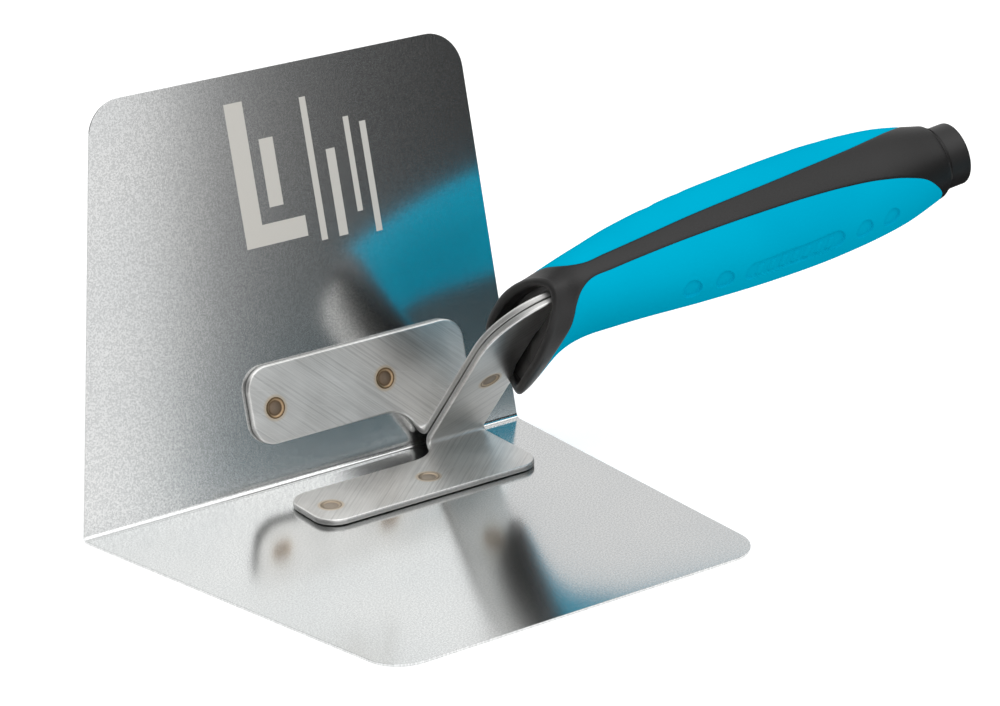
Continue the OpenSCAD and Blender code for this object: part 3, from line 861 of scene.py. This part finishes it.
def distance_to(points, line):
    """Distance from each point to the nearest point of the line, worked out in batches."""
    gap = np.full(len(points), 1e9)
    for first in range(0, len(line), 20):
        d = np.linalg.norm(points[:, None] - line[None, first:first + 20], axis=2).min(1)
        gap = np.minimum(gap, d)
    return gap


def groove(points, edge):
    """Depth of the parting groove, from the distance to the seam."""
    return GROOVE_DEPTH * np.exp(-(distance_to(points, edge) / GROOVE_W) ** 2)


def inside(points, polygon):
    """Which 2-D points lie in the polygon."""
    x, y = points[:, 0][:, None], points[:, 1][:, None]
    ax, ay = polygon[:, 0][None], polygon[:, 1][None]
    bx, by = np.roll(polygon, -1, 0)[:, 0][None], np.roll(polygon, -1, 0)[:, 1][None]
    cross = ((ay > y) != (by > y)) & (x < (bx - ax) * (y - ay) / np.where(by == ay, 1e-12, by - ay) + ax)
    return cross.sum(1) % 2 == 1


def even_grid(line):
    """Evenly placed (t, angle) of half the handle, left clear beside the seam and the marks."""
    rows = [-1, -0.89, -0.78, -0.67] + list(np.linspace(-0.55, 0, 15)) + list(np.linspace(0, 1, 26))[1:]
    rows += list(np.linspace(1, END, 84))[1:]
    rows += [END + k for k in (0.1, 0.2, 0.3, 0.4, 0.5, 0.6, 0.73, 0.86, 1)]
    cols = np.linspace(0, math.pi, 66)
    grid = np.stack(np.meshgrid(rows, cols, indexing="ij"), -1).reshape(-1, 2)
    t, a = grid[:, 0], grid[:, 1]
    to_seam = distance_to(grid * SPREAD, line)
    here = form(t, a)
    xi, eta = flank_place(here)
    clear = to_seam > SEAM_CLEAR
    for mark in marks():
        gap = mark_gap(xi, eta, mark)
        # The long mark has mesh points of its own all over
        taken = gap < MARK_CLEAR if mark[2] else np.abs(gap) < MARK_CLEAR
        clear &= ~(taken & (here[:, 2] > FLANK_Z))
    border = (a == 0) | (a == math.pi) | (t == rows[0]) | (t == rows[-1])
    return grid[(clear | border) & ~(border & (to_seam < BORDER_CLEAR))]


def beside_seam(line):
    """Rows of (t, angle) that follow the seam on both sides."""
    step = np.gradient(line, axis=0)
    side = np.stack([-step[:, 1], step[:, 0]], -1) / np.linalg.norm(step, axis=1)[:, None]
    rows = np.concatenate([line[1:-1] + k * side[1:-1] for k in BESIDE_SEAM]) / SPREAD
    return rows[(rows[:, 1] > 0.01) & (rows[:, 1] < math.pi - 0.01)]


def build_skins(black, cyan):
    """Both skins from one mesh of the half that faces the lower wing, and its mirror image."""
    curve = seam()
    line = curve * SPREAD
    xi, eta = mark_points()
    at_marks = np.stack([1 + (xi - NECK) / UNIT, angle_at(xi, eta)], -1)
    uv = np.concatenate([curve, even_grid(line), at_marks, beside_seam(line)]) * SPREAD
    edges = [(k, k + 1) for k in range(len(curve) - 1)]
    spots, _, cells, _, _, _ = delaunay_2d_cdt([Vector(p) for p in uv], edges, [], 0, 1e-4)
    uv = np.array([tuple(v) for v in spots])
    faces = np.array(cells)
    t, a = uv[:, 0] / UNIT, np.clip(uv[:, 1] / AROUND, 0, math.pi)
    points = form(t, a)
    sunk = groove(points, form(curve[:, 0], curve[:, 1]))
    flank = (t > 1) & (t < END) & (points[:, 2] > FLANK_Z)
    sunk[flank] += pressed(points[flank])
    points = points - outward(t, a) * np.where((t > -0.5) & (t < END + 0.5), sunk, 0)[:, None]
    points[(a < 1e-6) | (a > math.pi - 1e-6), 2] = 0
    centre = uv[faces].mean(1)
    # The seam and a far row past the belly enclose the coloured skin
    far = 2 * math.pi * AROUND
    coloured = inside(centre, np.concatenate([line, [[line[-1, 0], far], [line[0, 0], far]]]))
    # Faces turn outwards
    ab = points[faces[:, 1]] - points[faces[:, 0]]
    ac = points[faces[:, 2]] - points[faces[:, 0]]
    way = (np.cross(ab, ac) * outward(centre[:, 0] / UNIT, centre[:, 1] / AROUND)).sum(1)
    faces[way < 0] = faces[way < 0][:, ::-1]
    for name, chosen, node, slot, material in (
            ("grip_skin", coloured, "grip_cover", "soft_cyan", cyan),
            ("collar_stripe_and_tail", ~coloured, "soft_overmould", "soft_black", black)):
        used, back = np.unique(faces[chosen], return_inverse=True)
        triangles, half = back.reshape(-1, 3), points[used]
        obj = piece(name, np.concatenate([half, half * (1, 1, -1)]),
                    np.concatenate([triangles, triangles[:, ::-1] + len(half)]).tolist(),
                    node, material, closed=False)
        wall = obj.modifiers.new("wall", "SOLIDIFY")
        wall.thickness = SKIN_WALL / 1000
        wall.offset = -1


# End of the stub: rounding of its rim, and a low raised edge round a plain face as (depth, inset)
STUB_ROUND = 0.7
STUB_FACE = [(0, 1.5), (0.05, 1.7), (0.35, 1.95), (0.4, 2.2), (0.4, STUB_R - 3), (0.4, STUB_R)]
# Groove where the stub leaves the tail: (distance behind the tail's end, inset)
STUB_GROOVE = [(-3, 0.1), (-0.2, 0.1), (0.1, 0.3), (0.45, 0.3), (0.8, 0.0)]


def build_core(material):
    """Hard core: the pocket's floor, the hidden body under the skins, and the stub at the tail."""
    a = np.linspace(0, 2 * math.pi, 96, endpoint=False)
    floor = lip_point(1.0, a) + (0.02, 0, 0)
    mid = floor.mean(axis=0)
    rows = [mid + (floor - mid) * k for k in (0, 0.25, 0.5, 0.75, 0.92, 1.03)]
    rows += [collar_point(u + 0 * a, a, SKIN_T + 0.4) for u in np.linspace(0.3, 1, 10)]
    rows += [grip_point(t + 0 * a, a, SKIN_T) for t in np.linspace(NECK + 2, GRIP_LEN - 5, 26)]
    end = GRIP_LEN + STUB_LEN
    rows += [stub_point(GRIP_LEN + t, a, STUB_R - inset) for t, inset in STUB_GROOVE]
    rows.append(stub_point(end - 2, a, STUB_R))
    rows += [stub_point(end - STUB_ROUND * (1 - math.sin(q)), a, STUB_R - STUB_ROUND * (1 - math.cos(q)))
             for q in np.linspace(0, math.pi / 2, 7)]
    rows += [stub_point(end - depth, a, STUB_R - inset) for depth, inset in STUB_FACE]
    rows = np.array(rows)
    n, cols = rows.shape[:2]
    return weighted_normals(piece("hard_core", rows.reshape(-1, 3), grid_faces(n, cols, closed=True),
                                  "handle_core", material))


# ---------------------------------------------------------------- build the object
build_blade(blade_material())
_, upper_at, web_at = build_bracket("upper", bracket_material)
_, lower_at, _ = build_bracket("lower", bracket_material)
build_welds("upper", upper_at, weld_material("weld_tint_and_highlight_upper", 0.0))
build_welds("lower", lower_at, weld_material("weld_tint_and_highlight_lower", 0.45))
build_web_weld(web_at, weld_material("weld_tint_and_highlight_web", 0.2))
build_skins(
    plastic("soft_black", (0.0095, 0.0088, 0.0088, 1), (0.0075, 0.0070, 0.0068, 1), 0.45, 2600, 0.45,
            Specular_IOR_Level=0.4),
    plastic("soft_cyan", (0.0, 0.378, 0.572, 1), (0.0, 0.352, 0.545, 1), 0.6, 1500, 0.12,
            Specular_IOR_Level=0.0))
build_core(plastic("hard_plastic", (0.014, 0.013, 0.013, 1), (0.010, 0.0095, 0.0095, 1), 0.42, 1800, 0.16,
                   Specular_IOR_Level=0.42))


# ---------------------------------------------------------------- floor, light, camera
def heading(azimuth, elevation):
    """Unit vector in a direction given in degrees."""
    az, el = math.radians(azimuth), math.radians(elevation)
    return Vector((math.cos(az) * math.cos(el), math.sin(az) * math.cos(el), math.sin(el)))


# A card goes from low to high over this height, and its bright edge falls off at this rate
CARD_RISE, CARD_FALL = 0.18, -25.0
# Azimuth of the cards' long side, and the directions behind the upright card and along it
CARD_TURN = 29
AWAY, BESIDE = heading(CARD_TURN - 90, 0), heading(CARD_TURN, 0)


def gloss_card(name, centre, facing, width, height, low, high, lean=0.0, fade=0.0):
    """A flat card that only gloss sees, so the steel has something to reflect.

    low and high are its colours at the bottom and at the top. lean tilts its left edge, and
    fade is how bright that edge is before it falls off into the card.
    """
    mesh = bpy.data.meshes.new(name)
    w, h = width / 2, height / 2
    mesh.from_pydata([(-w, -h, 0), (w + lean, -h, 0), (w - lean, h, 0), (-w, h, 0)], [], [(0, 1, 2, 3)])
    obj = bpy.data.objects.new(name, mesh)
    bpy.context.scene.collection.objects.link(obj)
    obj.location = centre
    obj.rotation_euler = Vector(facing).to_track_quat("Z", "Y").to_euler()
    m = Material(name)
    at = m.add("SeparateXYZ", {0: m.add("TexCoord").outputs["Object"]}).outputs
    rise = m.step(at[1], -h, -h + CARD_RISE)
    within = m.math("SUBTRACT", m.math("SUBTRACT", w, m.math("MULTIPLY", at[1], lean / h)), at[0])
    fall = m.math("MULTIPLY", m.math("POWER", math.e, m.math("MULTIPLY", within, CARD_FALL)), fade)
    colour = m.mix(m.math("MULTIPLY", fall, rise), m.mix(rise, low, high), grey(1.0))
    glow = m.add("Emission", {"Color": colour, "Strength": 1.0})
    m.tree.links.new(glow.outputs[0], m.tree.nodes["Material Output"].inputs[0])
    mesh.materials.append(m.mat)
    obj.visible_camera = obj.visible_diffuse = obj.visible_shadow = obj.visible_transmission = False
    return obj


def area_light(name, location, target, size, power):
    light = bpy.data.lights.new(name, "AREA")
    light.energy = power
    light.size = size
    obj = bpy.data.objects.new(name, light)
    bpy.context.scene.collection.objects.link(obj)
    obj.location = location
    obj.rotation_euler = (Vector(target) - Vector(location)).to_track_quat("-Z", "Y").to_euler()


# Soft boxes as gloss sees them: azimuth, elevation, outer and inner angle, strength
SOFT_BOXES = [(-44, 45, 28, 15, 1.45), (57, 24, 32, 16, 0.7), (-94, 6, 44, 32, 0.92), (-160, 80, 44, 12, 1.1),
              (14, 57, 32, 12, 0.52), (135, 28, 44, 14, 0.4)]
# What gloss sees between the soft boxes
STUDIO_DARK = 0.16
# Light on matt surfaces: an even part, and a wide soft one like a soft box
MATT_EVEN, MATT_BOX = 0.90, (-110, 70, 95, 5, 0.20)


def build_world():
    """White behind, soft from the front left for the matt parts, and soft boxes for the gloss."""
    world = bpy.data.worlds.new("studio")
    world.use_nodes = True
    m = Nodes(world.node_tree)
    way = m.add("TexCoord").outputs["Generated"]

    def soft_box(azimuth, elevation, outer, inner, strength):
        ins = {0: way, 1: heading(azimuth, elevation)}
        dot = m.add("VectorMath", ins, operation="DOT_PRODUCT").outputs["Value"]
        lit = m.step(dot, math.cos(math.radians(outer)), math.cos(math.radians(inner)))
        return m.math("MULTIPLY", lit, strength)

    gloss = STUDIO_DARK
    for box in SOFT_BOXES:
        gloss = m.math("ADD", gloss, soft_box(*box))
    matt = m.math("ADD", MATT_EVEN, soft_box(*MATT_BOX))
    path = m.add("LightPath").outputs
    value = m.blend(path["Is Glossy Ray"], matt, gloss)
    value = m.blend(path["Is Camera Ray"], value, 1.0)
    background = m.tree.nodes["Background"]
    background.inputs["Color"].default_value = grey(1.0)
    m.tree.links.new(value, background.inputs["Strength"])
    bpy.context.scene.world = world


def build_floor():
    """Plain pale paper just under the blade."""
    floor = bpy.data.meshes.new("floor")
    floor.from_pydata([(-9, -9, 0), (9, -9, 0), (9, 9, 0), (-9, 9, 0)], [], [(0, 1, 2, 3)])
    obj = bpy.data.objects.new("floor", floor)
    obj.location = (0, 0, -0.00006)
    bpy.context.scene.collection.objects.link(obj)
    m = Material("floor_paper", Roughness=0.85, Specular_IOR_Level=0.15, Emission_Strength=0.3)
    tone = m.noise(m.add("TexCoord").outputs["Object"], 6, 2, 0.5)
    m.bsdf.inputs["Emission Color"].default_value = grey(1.0)
    floor.materials.append(m.set(Base_Color=m.mix(tone, grey(0.86), grey(0.88))))
    obj.visible_diffuse = False


def floor_card(name, away, beside, width, height, colour):
    """A card of one colour that lies just over the floor."""
    card = gloss_card(name, AWAY * away + BESIDE * beside + Vector((0, 0, 0.001)), (0, 0, 1), width, height,
                      colour, colour)
    card.rotation_euler = (0, 0, math.radians(CARD_TURN))


def build_stage():
    build_floor()
    build_world()
    # The card's edge runs up the middle of what the upright wing mirrors
    gloss_card("dark_card_right", AWAY * 0.45 + BESIDE * 0.271 + Vector((0, 0, 0.12)), -AWAY, 0.55, 0.36,
               (0.04, 0.11, 0.14, 1), grey(0.03), lean=0.044, fade=0.42)
    floor_card("teal_card_floor", 0.31, 0.262, 0.59, 0.27, (0.07, 0.21, 0.26, 1))
    # Keeps the handle's underside dark where it mirrors the paper beside the blade
    floor_card("dark_card_floor", -0.04, 0.37, 0.5, 0.42, grey(0.05))
    area_light("key", (-0.3, -0.6, 1.2), (0, 0, 0.03), 0.9, 3.5)


def build_camera():
    data = bpy.data.cameras.new("camera")
    data.lens = 122.05
    data.sensor_width = 36
    data.clip_start = 0.01
    camera = bpy.data.objects.new("camera", data)
    camera.location = (-0.40207, -0.61317, 0.33565)
    camera.rotation_euler = [math.radians(v) for v in (68.6416, 1.0046, -35.1261)]
    bpy.context.scene.collection.objects.link(camera)
    bpy.context.scene.camera = camera


build_stage()
build_camera()
bpy.context.scene.view_settings.view_transform = "Standard"
